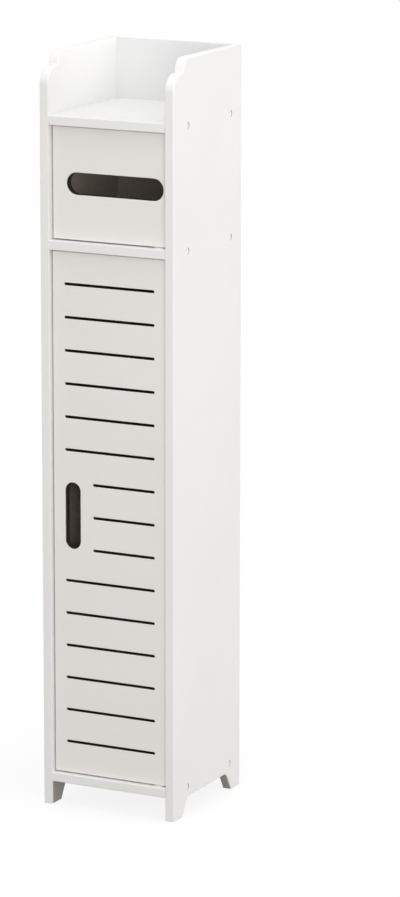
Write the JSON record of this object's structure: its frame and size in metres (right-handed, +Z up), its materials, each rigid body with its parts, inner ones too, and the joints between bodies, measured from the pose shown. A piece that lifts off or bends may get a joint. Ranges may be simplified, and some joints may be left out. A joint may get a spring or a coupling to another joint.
{
  "type": "toilet roll storage cabinet",
  "caption": "Tall narrow floor cabinet with an open tray on top, a small door with a paper slot and a tall louvred door, both hung on vertical pivot pins.",
  "frame": {"origin": "middle of the base at floor level", "axes": "+Z up, front towards -Y, +X to the right seen from the front"},
  "size_m": [0.154, 0.154, 0.796],
  "materials": {
    "body_paint": "satin white paint on board",
    "door_paint": "satin off-white paint on board",
    "back_board": "white faced thin board",
    "nylon": "moulded white nylon",
    "steel": "zinc plated",
    "lacquer": "white lacquered steel",
    "ferrite": "sintered ferrite, matt"
  },
  "bodies": {
    "cabinet": {"left_side_panel": "body_paint", "right_side_panel": "body_paint", "bottom_shelf": "body_paint", "middle_shelf": "body_paint", "top_shelf": "body_paint", "back_panel": "back_board", "lower_door_bottom_bush": "nylon", "lower_door_top_bush": "nylon", "upper_door_bottom_bush": "nylon", "upper_door_top_bush": "nylon", "lower_catch_housing": "nylon", "lower_catch_magnet": "ferrite", "lower_catch_screws": "steel", "upper_catch_housing": "nylon", "upper_catch_magnet": "ferrite", "upper_catch_screws": "steel", "bottom_shelf_screws": "lacquer", "middle_shelf_screws": "lacquer", "top_shelf_screws": "lacquer", "back_panel_nails": "steel"},
    "upper_door": {"upper_door": "door_paint", "upper_door_bottom_pin": "steel", "upper_door_top_pin": "steel", "upper_strike_plate": "steel", "upper_strike_screw": "steel"},
    "lower_door": {"lower_door": "door_paint", "lower_door_bottom_pin": "steel", "lower_door_top_pin": "steel", "lower_strike_plate": "steel", "lower_strike_screw": "steel"}
  },
  "joints": [
    {"name": "upper_door_hinge", "type": "hinge", "parent": "cabinet", "child": "upper_door", "pos_m": [0.0558, -0.065, 0.6625], "axis": [0, 0, 1], "range_deg": [0, 110]},
    {"name": "lower_door_hinge", "type": "hinge", "parent": "cabinet", "child": "lower_door", "pos_m": [0.0558, -0.067, 0.314], "axis": [0, 0, 1], "range_deg": [0, 110]}
  ]
}
